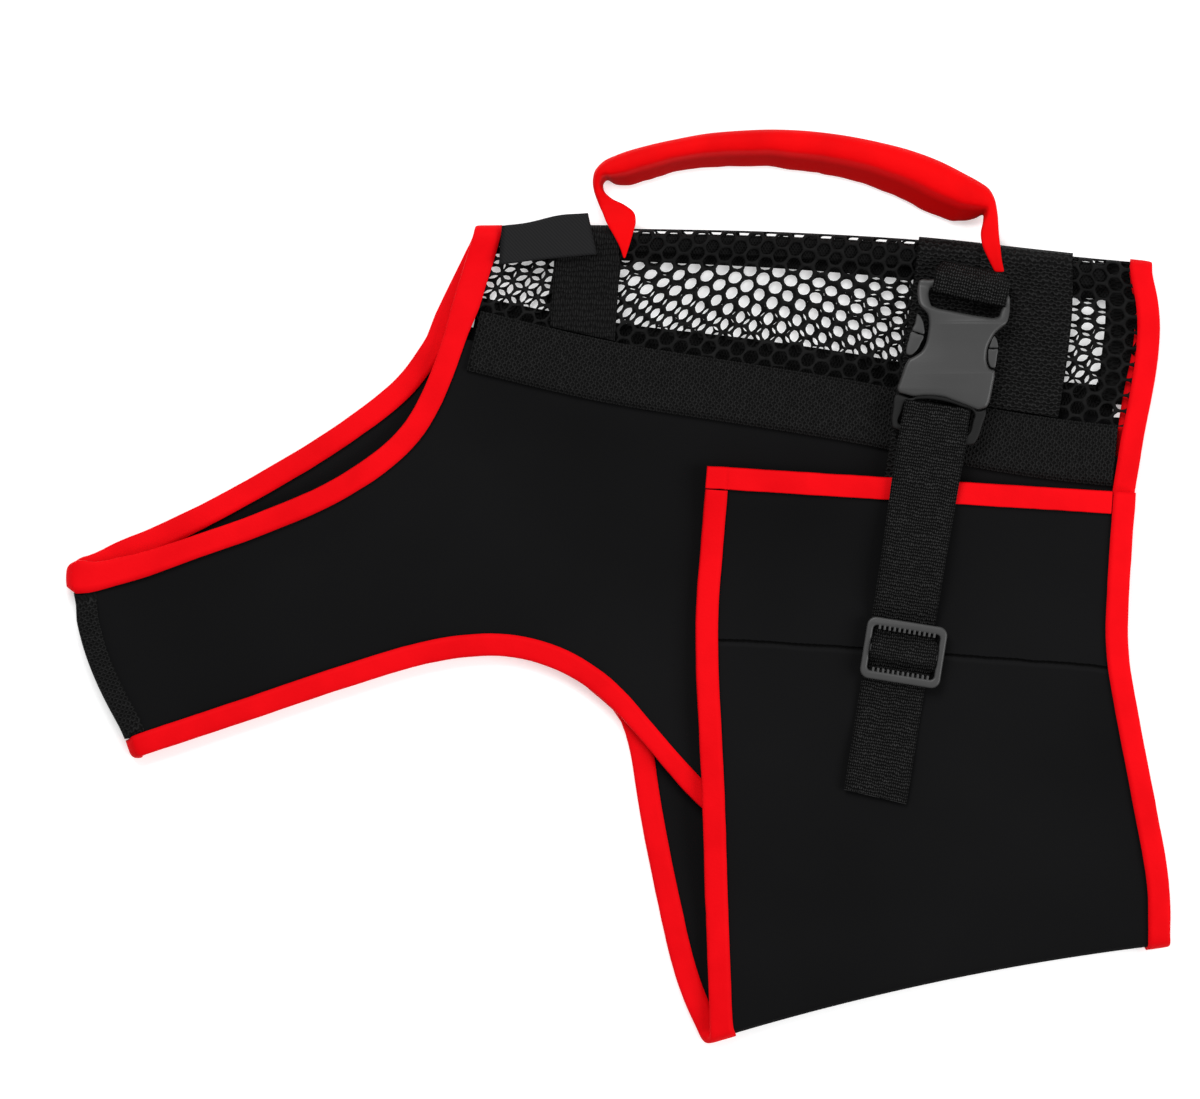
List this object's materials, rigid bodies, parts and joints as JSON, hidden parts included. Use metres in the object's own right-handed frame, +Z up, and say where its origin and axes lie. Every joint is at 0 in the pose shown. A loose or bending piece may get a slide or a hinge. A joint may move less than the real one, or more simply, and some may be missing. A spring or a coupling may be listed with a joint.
{
  "type": "dog mobility vest",
  "caption": "Neoprene dog support vest with red edge binding, net back, padded carry handle and buckled belly flap, laid flat on its side",
  "frame": {"origin": "middle of the vest's outline, on the surface it lies on", "axes": "+X towards the rear, +Y towards the back, +Z up from the surface it lies on"},
  "size_m": [0.442, 0.3654, 0.0206],
  "materials": {
    "neoprene": "smooth black neoprene",
    "red_binding": "matte red tape",
    "net": "open black net",
    "webbing": "woven black webbing",
    "buckle_plastic": "matte dark grey",
    "label_cloth": "plain black label"
  },
  "bodies": {
    "root": {"near_side_panel": "neoprene", "far_side_panel": "neoprene", "belly_panel": "neoprene", "back_mesh": "net", "chest_tape": "webbing", "neck_binding": "red_binding", "near_arm_binding": "red_binding", "far_arm_binding": "red_binding", "rear_binding": "red_binding", "flap_top_binding": "red_binding", "near_seam_webbing": "webbing", "far_seam_webbing": "webbing", "spine_webbing": "webbing", "front_cross_webbing": "webbing", "rear_cross_webbing": "webbing", "buckle_anchor_webbing": "webbing", "rear_hem_tape": "webbing", "carry_handle": "red_binding", "neck_label": "label_cloth", "buckle_socket": "buckle_plastic", "buckle_plug": "buckle_plastic", "buckle_loop": "webbing", "strap": "webbing", "strap_slider": "buckle_plastic"}
  },
  "joints": []
}
